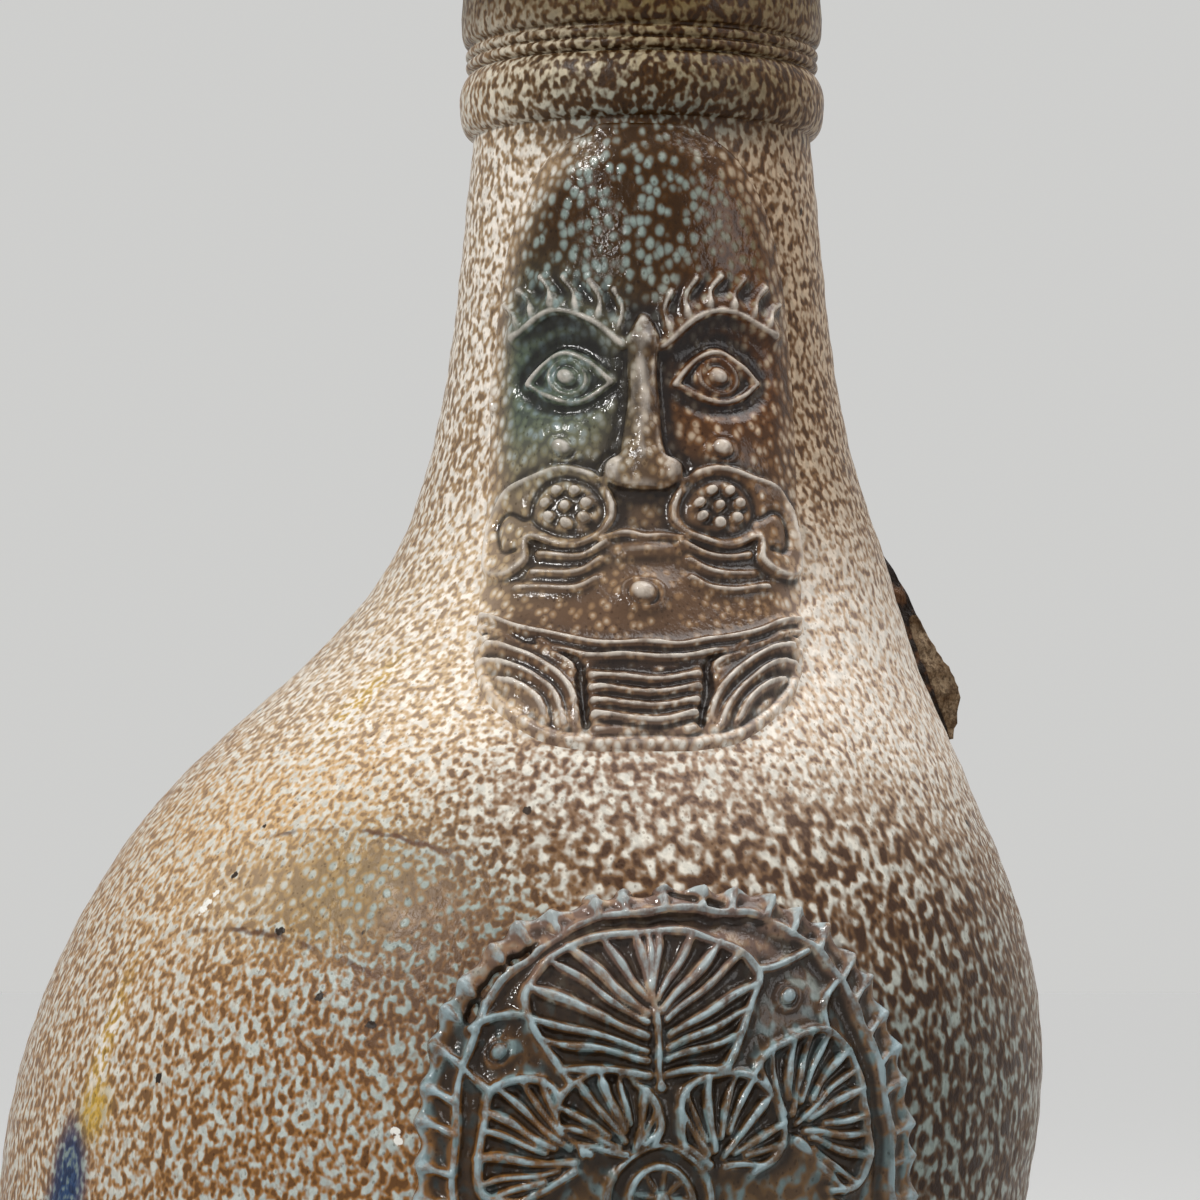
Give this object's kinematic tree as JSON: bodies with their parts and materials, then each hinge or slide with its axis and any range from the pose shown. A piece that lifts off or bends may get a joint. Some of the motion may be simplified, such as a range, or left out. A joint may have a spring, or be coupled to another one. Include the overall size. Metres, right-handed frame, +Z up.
{
  "type": "stoneware jug",
  "caption": "Salt-glazed stoneware jug with a narrow neck, a bearded mask sprig, an oval rosette medallion on the belly and a strap handle, slumped to one side in the kiln",
  "frame": {"origin": "centre of the flat foot, on the surface that the jug stands on", "axes": "+Z up along the height, the mask and the medallion face -Y, the belly leans so that the neck stands towards +X"},
  "size_m": [0.15, 0.1512, 0.275],
  "materials": {
    "salt_glaze": "glossy mottled brown and pale grey salt glaze",
    "mask_glaze": "glossy brown glaze with pale blue spots",
    "medallion_glaze": "glossy glaze, pale on ridges and brown in hollows",
    "broken_clay": "rough beige fracture"
  },
  "bodies": {
    "root": {"thrown_vessel": "salt_glaze", "handle": "salt_glaze", "face_mask": "mask_glaze", "belly_medallion": "medallion_glaze", "kiln_sherd": "broken_clay"}
  },
  "joints": []
}
